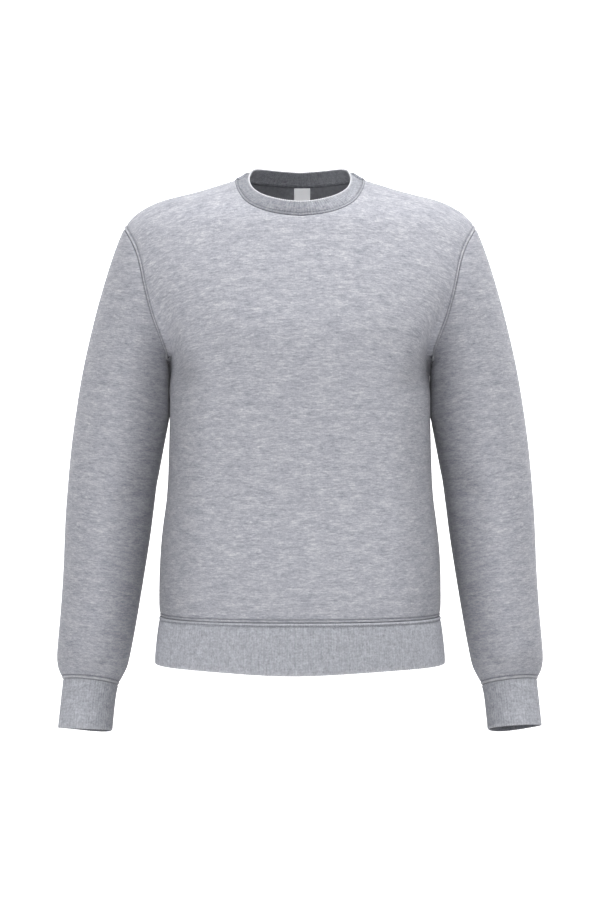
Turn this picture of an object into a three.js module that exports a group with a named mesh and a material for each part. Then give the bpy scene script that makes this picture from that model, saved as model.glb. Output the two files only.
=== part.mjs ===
import * as THREE from 'three';

// A crewneck sweatshirt, filled out as on a general figure and hollow all through.
// Millimetres: +X is the viewer's right, -Y the front, +Z up. The origin lies
// midway between the two high points where the shoulder seams meet the neck.

const panelWall = 2.2;
const bandWall = 2.8;
const labelWall = 0.8;
const seamGap = 0.3;

// Heights of the main lines.
const neckPointHeight = -7.5;
const shoulderPointHeight = -73.5;
const armpitHeight = -262;
const hemSeamHeight = -605;

// Steps of the grids: along a shoulder seam, the two halves of the neckline, an
// armhole from armpit to shoulder, and a side seam.
const shoulderSteps = 5;
const frontNeckSteps = 14;
const backNeckSteps = 10;
const armholeSteps = 10;
const sideSteps = 13;
const sleeveFanSteps = 6;

// Ribs: how many go round each band and how far they stand out and sink in.
const ribRelief = 0.45;
const waistbandRibs = 324;
const collarRibs = 156;
const cuffRibs = 66;

// Body sections from the neck down. The section power is 2 for an ellipse and
// more for a squarer outline.
const bodySections = [
  // height, half width, front depth, back depth, power
  [-4, 86, 40, 75, 2.0],
  [-7.5, 89.6, 44, 77, 2.0],
  [-11.5, 104.7, 47, 79, 2.0],
  [-17, 121, 52, 82, 2.0],
  [-22.5, 139, 55, 85, 2.0],
  [-28, 160.5, 59, 88, 2.0],
  [-33.6, 185, 65, 91, 2.0],
  [-39, 201, 71, 94, 2.0],
  [-50, 221, 84, 99, 2.0],
  [-61, 233.5, 98, 103, 2.0],
  [-73.5, 242.5, 105.5, 107.5, 2.1],
  [-90, 247.5, 110.5, 112, 2.2],
  [-117, 246, 120, 117, 2.35],
  [-139, 241, 127, 120, 2.45],
  [-160, 235.5, 132.5, 122.5, 2.5],
  [-194, 219, 140.5, 125, 2.5],
  [-212, 206.5, 144, 125, 2.5],
  [-229, 195.8, 145.5, 124.5, 2.5],
  [-245, 185.5, 145.5, 124, 2.5],
  [-262, 181, 145.3, 123, 2.5],
  [-270, 179.3, 145.2, 121.5, 2.5],
  [-280, 178.4, 145, 120, 2.5],
  [-310, 178.2, 144.3, 115.5, 2.45],
  [-360, 179.6, 143, 105, 2.4],
  [-430, 181.2, 143.5, 101, 2.4],
  [-463, 185.3, 145.5, 104, 2.4],
  [-496, 190.6, 148, 109.5, 2.4],
  [-530, 192.4, 151, 115.5, 2.4],
  [-565, 193, 153, 120.5, 2.4],
  [-590, 193.4, 153.5, 122, 2.4],
  [-605, 192.3, 152, 122, 2.4],
];

// Waistband sections, a little wider and flatter towards its folded edge.
const waistbandSections = [
  // height, half width, front depth, back depth
  [-605, 192.3, 152, 122],
  [-609, 192.9, 151.6, 122.1],
  [-640, 197.2, 146.5, 121.5],
  [-670, 199.0, 140, 119],
];

// Neckline seam and the collar's folded edge, by the turn round the neck from
// the middle of the front, 0, to the middle of the back, 180.
const neckHalfWidth = 89.6;
const collarEdgeHalfWidth = 69.3;
const collarEdgeFront = 85;
const collarEdgeBack = 62;
const collarBow = 1.5;
const neckHeights = [
  // turn, seam height, edge height
  [0, -65.7, -43.6],
  [12, -64.1, -42.8],
  [24, -60.5, -39.8],
  [36, -53.8, -36],
  [48, -43.8, -30.8],
  [59, -30.6, -24.8],
  [68, -18, -19.5],
  [79, -10.5, -11],
  [90, -7.5, -1.5],
  [105, -6, 7.4],
  [120, -4.8, 13.2],
  [150, -5.4, 12.8],
  [180, -7.2, 11],
];

// The armhole seen from the side is an oval; it is a little shallower behind.
const armholeFront = 76;
const armholeBack = 66;

// Sleeve rings below the fan that leaves the armhole, down to the cuff seam.
const sleeveSections = [
  // height, centre out, centre forward, half width, half depth
  [-330, 246, -5, 62.4, 68],
  [-348, 248.4, -5, 63.2, 67],
  [-381, 252.8, -4.5, 63, 65],
  [-414, 257.5, -2.5, 61, 63.5],
  [-447, 260.8, 1, 60.1, 62],
  [-480, 263.3, 6, 59.5, 60.5],
  [-529, 267.1, 16, 56.2, 58],
  [-577, 271.3, 28, 53.3, 55],
  [-625, 276.4, 41, 51, 52],
  [-657, 280.6, 49.5, 48.4, 47.5],
  [-671, 282, 53.2, 44.8, 40],
  [-681, 282.5, 55.8, 39.4, 30.5],
  [-688, 282.8, 57.5, 37, 26.5],
];

// Cuff rings on the same axis.
const cuffSections = [
  // height, centre out, centre forward, half width, half depth
  [-688, 282.8, 57.5, 37, 26.5],
  [-692, 283.3, 58.6, 36.9, 26.4],
  [-730, 287, 69, 36.4, 25.5],
  [-753, 288.8, 75.5, 36.6, 25],
];

// How the sleeve leaves the armhole: its parts outwards and downwards under the
// arm, at the side and at the shoulder, its parts forwards and backwards at the
// side, and how stiffly it does so under the arm and at the shoulder.
const leavingOut = [0.32, 0.9, 0.55];
const leavingDown = [1, 0.45, 0.85];
const leavingForward = 0.12;
const leavingBackward = 0.16;
const leavingPull = [0.5, 0.3];

// The figure's middle that the cloth is drawn away from: a spine up to a bar
// through the shoulders, which widens over some height to a share of their width.
const spineTop = -135;
const barStart = -300;
const barShare = 0.7;

// How steeply the collar's face bows, as the height over its own middle.
const collarLean = 40;

// Soft valleys pressed into the body beside the lower armholes, where the
// sleeves hang against it.
const bodyFolds = [
  // first end out, height, second end out, height, depth, spread
  [196, -186, 166, -262, 5.5, 13],
  [178, -215, 128, -300, 3, 17],
  [-192, -190, -162, -258, 4, 12],
  [-176, -220, -132, -286, 2, 16],
];

const cloth = (red, green, blue, roughness) => new THREE.MeshStandardMaterial({
  color: new THREE.Color().setRGB(red, green, blue, THREE.SRGBColorSpace),
  roughness,
  metalness: 0,
});
const fleeceFinish = () => cloth(0.70, 0.706, 0.733, 0.95);
const ribFinish = () => cloth(0.675, 0.682, 0.71, 0.92);
const labelFinish = () => cloth(0.82, 0.82, 0.825, 0.7);

// A smooth curve through a table's rows that never overshoots between two rows.
function curveThrough(rows, column) {
  const sorted = [...rows].sort((a, b) => a[0] - b[0]);
  const at = sorted.map((row) => row[0]);
  const value = sorted.map((row) => row[column]);
  const last = at.length - 1;
  const slope = (k) => (value[k + 1] - value[k]) / (at[k + 1] - at[k]);
  const tangent = at.map((_, k) => {
    if (k === 0) return slope(0);
    if (k === last) return slope(last - 1);
    const before = slope(k - 1);
    const after = slope(k);
    if (before * after <= 0) return 0;
    const left = at[k] - at[k - 1];
    const right = at[k + 1] - at[k];
    const heavy = 2 * right + left;
    const light = right + 2 * left;
    return (heavy + light) / (heavy / before + light / after);
  });
  return (x) => {
    const clamped = Math.min(Math.max(x, at[0]), at[last]);
    let k = 0;
    while (k < last - 1 && clamped > at[k + 1]) k += 1;
    const span = at[k + 1] - at[k];
    const t = (clamped - at[k]) / span;
    const s = 1 - t;
    return value[k] * (1 + 2 * t) * s * s + tangent[k] * span * t * s * s
      + value[k + 1] * t * t * (3 - 2 * t) - tangent[k + 1] * span * t * t * s;
  };
}

const bodyWidth = curveThrough(bodySections, 1);
const bodyFront = curveThrough(bodySections, 2);
const bodyBack = curveThrough(bodySections, 3);
const bodyPower = curveThrough(bodySections, 4);

// The depth of the body's surface at a place across and a height.
function bodyDepth(across, height, front) {
  const power = bodyPower(height);
  const share = Math.min(Math.abs(across) / bodyWidth(height), 1);
  const depth = front ? bodyFront(height) : bodyBack(height);
  return depth * (1 - share ** power) ** (1 / power);
}

// How far round its section a point lies: 1 on the surface, less inside.
function fullness(point) {
  const power = bodyPower(point.z);
  const depth = point.y < 0 ? bodyFront(point.z) : bodyBack(point.z);
  const across = Math.abs(point.x) / bodyWidth(point.z);
  const level = (across ** power + Math.abs(point.y / depth) ** power) ** (1 / power);
  return point.z > bodySections[0][0] ? 2 : level;
}

// Moves a point along the line from the figure's middle, a spine with a bar
// through the shoulders, until it lies on the body's surface.
function ontoBody(point) {
  const wide = barShare * THREE.MathUtils.smoothstep(point.z, barStart, spineTop);
  const middle = new THREE.Vector3(point.x * wide, 0, Math.min(point.z, spineTop));
  const halvings = 45;
  let inside = 0.05;
  let outside = 3;
  for (let step = 0; step < halvings; step += 1) {
    const share = (inside + outside) / 2;
    const trial = middle.clone().lerp(point, share);
    if (fullness(trial) > 1) outside = share;
    else inside = share;
  }
  return middle.lerp(point, inside);
}

// Points at even distances along a curve given as a function of 0 to 1.
function evenly(curve, steps) {
  const fine = 400;
  const points = Array.from({ length: fine + 1 }, (_, k) => curve(k / fine));
  const run = [0];
  for (let k = 1; k <= fine; k += 1) run.push(run[k - 1] + points[k].distanceTo(points[k - 1]));
  return Array.from({ length: steps + 1 }, (_, step) => {
    const wanted = (run[fine] * step) / steps;
    let k = 1;
    while (k < fine && run[k] < wanted) k += 1;
    const share = (wanted - run[k - 1]) / (run[k] - run[k - 1]);
    return points[k - 1].clone().lerp(points[k], share);
  });
}

const mirrored = (points) => points.map((p) => new THREE.Vector3(-p.x, p.y, p.z));

// Outlines of the cut pieces on the body's surface, on the viewer's right. The
// front and the back each have a neckline, a shoulder, an armhole, a side and a hem.
const seamHeight = curveThrough(neckHeights, 1);
const edgeHeight = curveThrough(neckHeights, 2);

function neckPoint(turn) {
  const across = neckHalfWidth * Math.sin(THREE.MathUtils.degToRad(turn));
  const height = seamHeight(turn);
  const front = turn <= 90;
  const depth = bodyDepth(across, height, front);
  return new THREE.Vector3(across, front ? -depth : depth, height);
}

function armholePoint(climb, front) {
  const angle = Math.PI * (climb - 0.5);
  const middle = (armpitHeight + shoulderPointHeight) / 2;
  const half = (shoulderPointHeight - armpitHeight) / 2;
  const height = middle + half * Math.sin(angle);
  const reach = (front ? armholeFront : armholeBack) * Math.cos(angle);
  const power = bodyPower(height);
  const depth = front ? bodyFront(height) : bodyBack(height);
  const across = bodyWidth(height) * (1 - (reach / depth) ** power) ** (1 / power);
  return new THREE.Vector3(across, front ? -reach : reach, height);
}

function hemPoint(turn, front) {
  const power = bodyPower(hemSeamHeight);
  const sine = Math.sin(turn);
  const cosine = Math.cos(turn);
  const swell = (Math.abs(sine) ** power + Math.abs(cosine) ** power) ** (-1 / power);
  const depth = front ? -bodyFront(hemSeamHeight) : bodyBack(hemSeamHeight);
  return new THREE.Vector3(bodyWidth(hemSeamHeight) * swell * sine, depth * swell * cosine, hemSeamHeight);
}

const onRidge = (height) => new THREE.Vector3(bodyWidth(height), 0, height);
const between = (first, second) => (share) => THREE.MathUtils.lerp(first, second, share);
const shoulderHeights = between(shoulderPointHeight, neckPointHeight);
const sideHeights = between(hemSeamHeight, armpitHeight);
const shoulderLine = evenly((share) => onRidge(shoulderHeights(share)), shoulderSteps);
const sideLine = evenly((share) => onRidge(sideHeights(share)), sideSteps);

function outlines(front) {
  const neckSteps = front ? frontNeckSteps : backNeckSteps;
  const turns = front ? between(90, 0) : between(90, 180);
  const neck = evenly((share) => neckPoint(turns(share)), neckSteps / 2);
  const armhole = evenly((share) => armholePoint(share, front), armholeSteps);
  const columns = 2 * shoulderSteps + neckSteps;
  const hem = evenly((share) => hemPoint(Math.PI * (share - 0.5), front), columns);
  const rightTop = [...shoulderLine, ...neck.slice(1)];
  const leftTop = mirrored(rightTop);
  return {
    neck,
    armhole,
    hem,
    top: [...leftTop, ...rightTop.slice(0, -1).reverse()],
    side: [...sideLine, ...armhole.slice(1)],
  };
}

const frontOutline = outlines(true);
const backOutline = outlines(false);

// A panel's grid, from hem to top and from the viewer's left to the right. It
// blends the four edges and lays the result on the body's surface.
function panelGrid(outline) {
  const rows = sideSteps + armholeSteps;
  const columns = outline.top.length - 1;
  const right = outline.side;
  const left = mirrored(right);
  const spread = (edge, column) => {
    const ends = edge[0].clone().lerp(edge[columns], column / columns);
    return edge[column].clone().sub(ends);
  };
  return Array.from({ length: rows + 1 }, (_, row) => {
    const climb = (row / rows) ** 3;
    return Array.from({ length: columns + 1 }, (__, column) => {
      if (row === 0) return outline.hem[column].clone();
      if (row === rows) return outline.top[column].clone();
      if (column === 0) return left[row].clone();
      if (column === columns) return right[row].clone();
      const point = left[row].clone().lerp(right[row], column / columns);
      point.addScaledVector(spread(outline.hem, column), 1 - climb);
      point.addScaledVector(spread(outline.top, column), climb);
      return ontoBody(point);
    });
  });
}

// A ring round the sleeve's axis: starts under the arm and runs over the front.
function axisFrame(sections, height) {
  const out = curveThrough(sections, 1);
  const forward = curveThrough(sections, 2);
  const step = 1;
  const middle = new THREE.Vector3(out(height), -forward(height), height);
  const below = new THREE.Vector3(out(height - step), -forward(height - step), height - step);
  const above = new THREE.Vector3(out(height + step), -forward(height + step), height + step);
  const down = below.sub(above).normalize();
  const outward = new THREE.Vector3(1, 0, 0).addScaledVector(down, -down.x).normalize();
  const ahead = new THREE.Vector3().crossVectors(outward, down).normalize();
  if (ahead.y > 0) ahead.negate();
  return { middle, down, outward, ahead };
}

const armSections = [...sleeveSections, ...cuffSections.slice(1)];
const armWidth = curveThrough(armSections, 3);
const armDepth = curveThrough(armSections, 4);

function armRing(height) {
  const { middle, outward, ahead } = axisFrame(armSections, height);
  return Array.from({ length: 2 * armholeSteps }, (_, step) => {
    const turn = (Math.PI * step) / armholeSteps;
    return middle.clone()
      .addScaledVector(outward, -armWidth(height) * Math.cos(turn))
      .addScaledVector(ahead, armDepth(height) * Math.sin(turn));
  });
}

// The direction in which the sleeve leaves the armhole, by the level from -1 under
// the arm to 1 at the shoulder.
function leaving(level, front) {
  const blend = ([low, side, high]) => side + (level * (high - low)) / 2
    + level * level * ((high + low) / 2 - side);
  const aside = (front ? -leavingForward : leavingBackward) * (1 - level * level);
  return new THREE.Vector3(blend(leavingOut), aside, -blend(leavingDown)).normalize();
}

function sleeveGrid() {
  const loop = [...frontOutline.armhole, ...backOutline.armhole.slice(1, -1).reverse()];
  const topHeight = sleeveSections[0][0];
  const firstRing = armRing(topHeight);
  const { down } = axisFrame(armSections, topHeight);
  const rows = Array.from({ length: sleeveFanSteps }, (_, step) => {
    const t = step / sleeveFanSteps;
    const s = 1 - t;
    return loop.map((start, column) => {
      const front = column <= armholeSteps;
      const climb = (front ? column : 2 * armholeSteps - column) / armholeSteps;
      const end = firstRing[column];
      const reach = start.distanceTo(end);
      const level = -Math.cos(Math.PI * climb);
      const pull = THREE.MathUtils.mapLinear(level, -1, 1, ...leavingPull);
      return start.clone().multiplyScalar((1 + 2 * t) * s * s)
        .addScaledVector(leaving(level, front), reach * pull * t * s * s)
        .addScaledVector(end, t * t * (3 - 2 * t))
        .addScaledVector(down, -reach * t * t * s);
    });
  });
  return [...rows, ...sleeveSections.map((section) => armRing(section[0]))];
}

// The unit normals of a grid, outward where outward is 1. A closed grid joins its
// last column to its first.
function gridNormals(grid, closed, outward) {
  const rows = grid.length;
  const columns = grid[0].length;
  return grid.map((line, row) => line.map((_, column) => {
    const after = closed ? (column + 1) % columns : Math.min(column + 1, columns - 1);
    const before = closed ? (column + columns - 1) % columns : Math.max(column - 1, 0);
    const across = grid[row][after].clone().sub(grid[row][before]);
    const upper = grid[Math.min(row + 1, rows - 1)][column];
    const along = upper.clone().sub(grid[Math.max(row - 1, 0)][column]);
    return across.cross(along).normalize().multiplyScalar(outward);
  }));
}

// Points that two pieces share at a seam get one normal between them, so both
// walls end in parallel faces.
const placeName = (point) => point.toArray().map((value) => value.toFixed(4)).join(' ');

function shareNormals(sheets) {
  const sums = new Map();
  const visit = (action) => sheets.forEach((sheet) => sheet.grid.forEach((line, row) => {
    line.forEach((point, column) => action(sheet, row, column, placeName(point)));
  }));
  visit((sheet, row, column, name) => {
    const sum = sums.get(name) ?? new THREE.Vector3();
    sums.set(name, sum.add(sheet.normals[row][column]));
  });
  visit((sheet, row, column, name) => {
    sheet.normals[row][column] = sums.get(name).clone().normalize();
  });
}

// Round the armhole the wall is measured towards the middle of the loop, because
// under the arm the sleeve and the body lie back to back.
function armholeNormals(loop) {
  const middle = loop.reduce((sum, point) => sum.add(point), new THREE.Vector3());
  middle.divideScalar(loop.length);
  return loop.map((point, k) => {
    const after = loop[(k + 1) % loop.length];
    const before = loop[(k + loop.length - 1) % loop.length];
    const along = after.clone().sub(before).normalize();
    const spoke = point.clone().sub(middle);
    return spoke.addScaledVector(along, -spoke.dot(along)).normalize();
  });
}

// Draws each sewn edge back by half the seam gap, square to the seam.
function drawBack(sheet) {
  const { grid, normals, closed } = sheet;
  const lastRow = grid.length - 1;
  const lastColumn = grid[0].length - 1;
  const shifts = [];
  const shiftEdge = (places, inward, wrap) => places.forEach(([row, column], k) => {
    const count = places.length;
    const after = places[wrap ? (k + 1) % count : Math.min(k + 1, count - 1)];
    const before = places[wrap ? (k + count - 1) % count : Math.max(k - 1, 0)];
    const along = grid[after[0]][after[1]].clone().sub(grid[before[0]][before[1]]);
    const away = along.cross(normals[row][column]).normalize();
    const inner = grid[row + inward[0]][column + inward[1]].clone().sub(grid[row][column]);
    const sign = Math.sign(away.dot(inner)) || 1;
    shifts.push([row, column, away.multiplyScalar((sign * seamGap) / 2)]);
  });
  const rowPlaces = (row) => grid[row].map((_, column) => [row, column]);
  const columnPlaces = (column) => grid.map((_, row) => [row, column]);
  if (sheet.sewn.includes('first')) shiftEdge(rowPlaces(0), [1, 0], closed);
  if (sheet.sewn.includes('last')) shiftEdge(rowPlaces(lastRow), [-1, 0], closed);
  if (sheet.sewn.includes('sides')) {
    shiftEdge(columnPlaces(0), [0, 1], false);
    shiftEdge(columnPlaces(lastColumn), [0, -1], false);
  }
  shifts.forEach(([row, column, shift]) => {
    grid[row][column] = grid[row][column].clone().add(shift);
  });
}

// Closes a strip between two rings or edges. Equal edges are joined across the
// shorter diagonal, or the one that starts lower where both are about as long;
// otherwise a fine edge meets a plainer one in step.
function zip(points, first, second, closed) {
  const firstSteps = closed ? first.length : first.length - 1;
  const secondSteps = closed ? second.length : second.length - 1;
  const faces = [];
  let a = 0;
  let b = 0;
  while (a < firstSteps || b < secondSteps) {
    const here = first[a % first.length];
    const there = second[b % second.length];
    const nextHere = first[(a + 1) % first.length];
    const nextThere = second[(b + 1) % second.length];
    const ahead = (a + 1) / firstSteps - (b + 1) / secondSteps;
    const longer = points[nextHere].distanceTo(points[there]) - points[here].distanceTo(points[nextThere]);
    const shorter = Math.abs(longer) < seamGap ? points[nextHere].z < points[here].z : longer < 0;
    const level = Math.abs(ahead) < 1e-9 && a < firstSteps && b < secondSteps;
    if (level ? shorter : b >= secondSteps || (a < firstSteps && ahead < 0)) {
      faces.push([here, nextHere, there]);
      a += 1;
    } else {
      faces.push([here, nextThere, there]);
      b += 1;
    }
  }
  return faces;
}

// A closed wall between an outer and an inner grid. The two may have different
// numbers of columns when they are closed rings.
function wallGeometry(outer, inner, closed) {
  const points = [];
  const number = (grid) => grid.map((line) => line.map((point) => points.push(point) - 1));
  const outerPlaces = number(outer);
  const innerPlaces = number(inner);
  const faces = [];
  const rim = (first, second, turned, ring) => zip(points, first, second, ring)
    .forEach(([a, b, c]) => faces.push(turned ? [a, c, b] : [a, b, c]));
  const skin = (places, turned) => places.slice(1)
    .forEach((line, row) => rim(places[row], line, turned, closed));
  skin(outerPlaces, false);
  skin(innerPlaces, true);
  rim(outerPlaces[0], innerPlaces[0], true, closed);
  rim(outerPlaces.at(-1), innerPlaces.at(-1), false, closed);
  if (!closed) {
    rim(outerPlaces.map((line) => line[0]), innerPlaces.map((line) => line[0]), false, false);
    rim(outerPlaces.map((line) => line.at(-1)), innerPlaces.map((line) => line.at(-1)), true, false);
  }
  const volume = faces.reduce((sum, [a, b, c]) => {
    const corner = points[b].clone().cross(points[c]);
    return sum + points[a].dot(corner) / 6;
  }, 0);
  const ordered = volume > 0 ? faces : faces.map(([a, b, c]) => [a, c, b]);
  const geometry = new THREE.BufferGeometry();
  geometry.setAttribute('position', new THREE.Float32BufferAttribute(points.flatMap((p) => p.toArray()), 3));
  geometry.setIndex(ordered.flat());
  geometry.computeVertexNormals();
  return geometry;
}

const innerGrid = (grid, normals, wall) => grid.map((line, row) => line.map(
  (point, column) => point.clone().addScaledVector(normals[row][column], -wall),
));

// Presses the soft valleys into a grid along its normals. They fade out at seams.
function pressFolds(grid, normals, folds) {
  const lastRow = grid.length - 1;
  const lastColumn = grid[0].length - 1;
  for (let row = 1; row < lastRow; row += 1) {
    for (let column = 1; column < lastColumn; column += 1) {
      const point = grid[row][column];
      const depth = folds.reduce((sum, [outA, highA, outB, highB, deep, spread]) => {
        const from = new THREE.Vector2(outA, highA);
        const way = new THREE.Vector2(outB, highB).sub(from);
        const place = new THREE.Vector2(point.x, point.z).sub(from);
        const share = THREE.MathUtils.clamp(place.dot(way) / way.lengthSq(), 0, 1);
        const apart = place.addScaledVector(way, -share).length() / spread;
        return sum + deep * Math.exp(-apart * apart);
      }, 0);
      point.addScaledVector(normals[row][column], -depth);
    }
  }
}

// A ring grid with finer columns, smooth between the plainer ones.
function finerRing(grid, columns) {
  const count = grid[0].length;
  return grid.map((line) => Array.from({ length: columns }, (_, column) => {
    const place = (column * count) / columns;
    const k = Math.floor(place);
    const t = place - k;
    const [before, here, next, after] = [-1, 0, 1, 2].map((step) => line[(k + step + count) % count]);
    const smooth = (a, b, c, d) => b + 0.5 * t * (c - a + t * (2 * a - 5 * b + 4 * c - d
      + t * (3 * (b - c) + d - a)));
    return new THREE.Vector3(
      smooth(before.x, here.x, next.x, after.x),
      smooth(before.y, here.y, next.y, after.y),
      smooth(before.z, here.z, next.z, after.z),
    );
  }));
}

// A rib band: below the level first row, at the seam, the outer points rise and
// fall from rib to groove. The inside is plain.
function ribbedWall(sheet, ribs) {
  const columns = 2 * ribs;
  const ribbed = finerRing(sheet.grid.slice(1), columns);
  const normals = finerRing(sheet.normals.slice(1), columns);
  ribbed.forEach((line, row) => line.forEach((point, column) => {
    const rise = column % 2 === 0 ? ribRelief : -ribRelief;
    point.addScaledVector(normals[row][column].normalize(), rise);
  }));
  const inner = innerGrid(sheet.grid, sheet.normals, bandWall);
  return wallGeometry([sheet.grid[0], ...ribbed], inner, true);
}

// The waistband's rings start at the hem seam, on the same columns as the panels.
function waistbandGrid() {
  const width = curveThrough(waistbandSections, 1);
  const front = curveThrough(waistbandSections, 2);
  const back = curveThrough(waistbandSections, 3);
  const seam = [...frontOutline.hem, ...backOutline.hem.slice(1, -1).reverse()];
  const [, seamWidth, seamFront, seamBack] = waistbandSections[0];
  return waistbandSections.map(([height]) => seam.map((point) => new THREE.Vector3(
    (point.x * width(height)) / seamWidth,
    point.y < 0 ? (point.y * front(height)) / seamFront : (point.y * back(height)) / seamBack,
    height,
  )));
}

// The collar leans in from the neckline seam to its folded edge.
function collarGrid() {
  const half = [...frontOutline.neck.slice().reverse(), ...backOutline.neck.slice(1)];
  const frontCount = frontOutline.neck.length - 1;
  const backCount = backOutline.neck.length - 1;
  const edge = half.map((_, k) => {
    const turn = k <= frontCount ? (90 * k) / frontCount : 90 + (90 * (k - frontCount)) / backCount;
    const angle = THREE.MathUtils.degToRad(turn);
    const depth = turn <= 90 ? -collarEdgeFront : -collarEdgeBack;
    return new THREE.Vector3(
      collarEdgeHalfWidth * Math.sin(angle),
      depth * Math.cos(angle),
      edgeHeight(turn),
    );
  });
  const round = (side) => [...side, ...mirrored(side.slice(1, -1).reverse())];
  const seamRing = round(half);
  const edgeRing = round(edge);
  const rowShares = [0, 0.1, 0.55, 1];
  return rowShares.map((share) => seamRing.map((point, k) => {
    const place = point.clone().lerp(edgeRing[k], share);
    const outward = new THREE.Vector3(place.x, place.y, collarLean).normalize();
    return place.addScaledVector(outward, collarBow * 4 * share * (1 - share));
  }));
}

const cuffGrid = () => cuffSections.map((section) => armRing(section[0]));

const sheetOf = (name, grid, closed, outward, sewn) => ({
  name,
  grid,
  closed,
  sewn,
  normals: gridNormals(grid, closed, outward),
});
const mirroredGrid = (grid) => grid.map((line) => mirrored(line));

// The label hangs inside the back from the neckline seam. It lies on the panel's
// inner points, moved in by the gap.
const labelHalfShare = 0.47;
const labelTopShare = 0.05;
const labelLowShare = 0.78;
const labelGap = 0.7;

function labelWallGeometry(innerPanel, panelNormals) {
  const topRow = innerPanel.length - 1;
  const centre = (innerPanel[0].length - 1) / 2;
  const place = (source, down, across) => {
    const beside = centre + Math.sign(across);
    const onRow = (row) => source[row][centre].clone().lerp(source[row][beside], Math.abs(across));
    return onRow(topRow).lerp(onRow(topRow - 1), down);
  };
  const downs = [labelTopShare, (labelTopShare + labelLowShare) / 2, labelLowShare];
  const acrosses = [-labelHalfShare, 0, labelHalfShare];
  const layer = (depth) => downs.map((down) => acrosses.map((across) => {
    const normal = place(panelNormals, down, across).normalize();
    return place(innerPanel, down, across).addScaledVector(normal, -depth);
  }));
  return wallGeometry(layer(labelGap), layer(labelGap + labelWall), false);
}

const front = sheetOf('front', panelGrid(frontOutline), false, 1, ['first', 'last', 'sides']);
const back = sheetOf('back', panelGrid(backOutline), false, -1, ['first', 'last', 'sides']);
const rightArm = sleeveGrid();
const cuffRings = cuffGrid();
const sheets = {
  front,
  back,
  sleeveLeft: sheetOf('sleeve_left', rightArm, true, -1, ['first', 'last']),
  sleeveRight: sheetOf('sleeve_right', mirroredGrid(rightArm), true, 1, ['first', 'last']),
  cuffLeft: sheetOf('cuff_left', cuffRings, true, -1, ['first']),
  cuffRight: sheetOf('cuff_right', mirroredGrid(cuffRings), true, 1, ['first']),
  waistband: sheetOf('waistband', waistbandGrid(), true, -1, ['first']),
  collar: sheetOf('collar', collarGrid(), true, 1, ['first']),
};
pressFolds(front.grid, front.normals, bodyFolds);
shareNormals(Object.values(sheets));

// Both walls at an armhole take the loop's own normals.
function setArmholeNormals(sleeve) {
  const loop = sleeve.grid[0];
  const spokes = armholeNormals(loop);
  const named = new Map(loop.map((point, k) => [placeName(point), spokes[k]]));
  [sleeve, front, back].forEach((sheet) => sheet.grid.forEach((line, row) => {
    line.forEach((point, column) => {
      const spoke = named.get(placeName(point));
      if (spoke) sheet.normals[row][column] = spoke.clone();
    });
  }));
}
setArmholeNormals(sheets.sleeveLeft);
setArmholeNormals(sheets.sleeveRight);
Object.values(sheets).forEach(drawBack);

const plainWall = (sheet) => wallGeometry(
  sheet.grid,
  innerGrid(sheet.grid, sheet.normals, panelWall),
  sheet.closed,
);

const sweatshirt = new THREE.Group();
function addPiece(name, geometry, material) {
  const mesh = new THREE.Mesh(geometry, material);
  mesh.name = name;
  sweatshirt.add(mesh);
}

addPiece('front', plainWall(front), fleeceFinish());
addPiece('back', plainWall(back), fleeceFinish());
addPiece('sleeve_left', plainWall(sheets.sleeveLeft), fleeceFinish());
addPiece('sleeve_right', plainWall(sheets.sleeveRight), fleeceFinish());
addPiece('collar', ribbedWall(sheets.collar, collarRibs), ribFinish());
addPiece('waistband', ribbedWall(sheets.waistband, waistbandRibs), ribFinish());
addPiece('cuff_left', ribbedWall(sheets.cuffLeft, cuffRibs), ribFinish());
addPiece('cuff_right', ribbedWall(sheets.cuffRight, cuffRibs), ribFinish());
const backInner = innerGrid(back.grid, back.normals, panelWall);
addPiece('label', labelWallGeometry(backInner, back.normals), labelFinish());

export default sweatshirt;
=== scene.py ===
import bpy
import numpy as np
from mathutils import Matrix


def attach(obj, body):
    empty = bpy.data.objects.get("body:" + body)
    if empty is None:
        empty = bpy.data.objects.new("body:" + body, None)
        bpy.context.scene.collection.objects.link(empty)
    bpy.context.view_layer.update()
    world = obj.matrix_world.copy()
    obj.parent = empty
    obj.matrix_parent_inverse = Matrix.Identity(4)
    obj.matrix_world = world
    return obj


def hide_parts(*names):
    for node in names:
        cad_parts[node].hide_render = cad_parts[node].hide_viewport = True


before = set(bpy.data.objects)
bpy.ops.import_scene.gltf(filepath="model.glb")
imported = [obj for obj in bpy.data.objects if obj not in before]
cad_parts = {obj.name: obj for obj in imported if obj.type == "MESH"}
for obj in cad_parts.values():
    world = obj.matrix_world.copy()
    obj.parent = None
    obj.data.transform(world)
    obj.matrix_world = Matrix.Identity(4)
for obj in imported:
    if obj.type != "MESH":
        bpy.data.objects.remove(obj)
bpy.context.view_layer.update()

# Front and back. Two panels of fleece-backed jersey in heather grey, cut with
# half of the neckline and half of each armhole, overlocked together at the
# shoulders and sides. The knit hangs smooth on a filled-out form.

panel_thickness = 0.0017
shoulder_point_height = -0.0735
armpit_height = -0.262
hem_seam_height = -0.605
neck_half_width = 0.0896
armhole_reach = {-1: 0.076, 1: 0.066}
armpit_share = 13 / 23
shoulder_share = {-1: 5 / 24, 1: 5 / 20}

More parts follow.
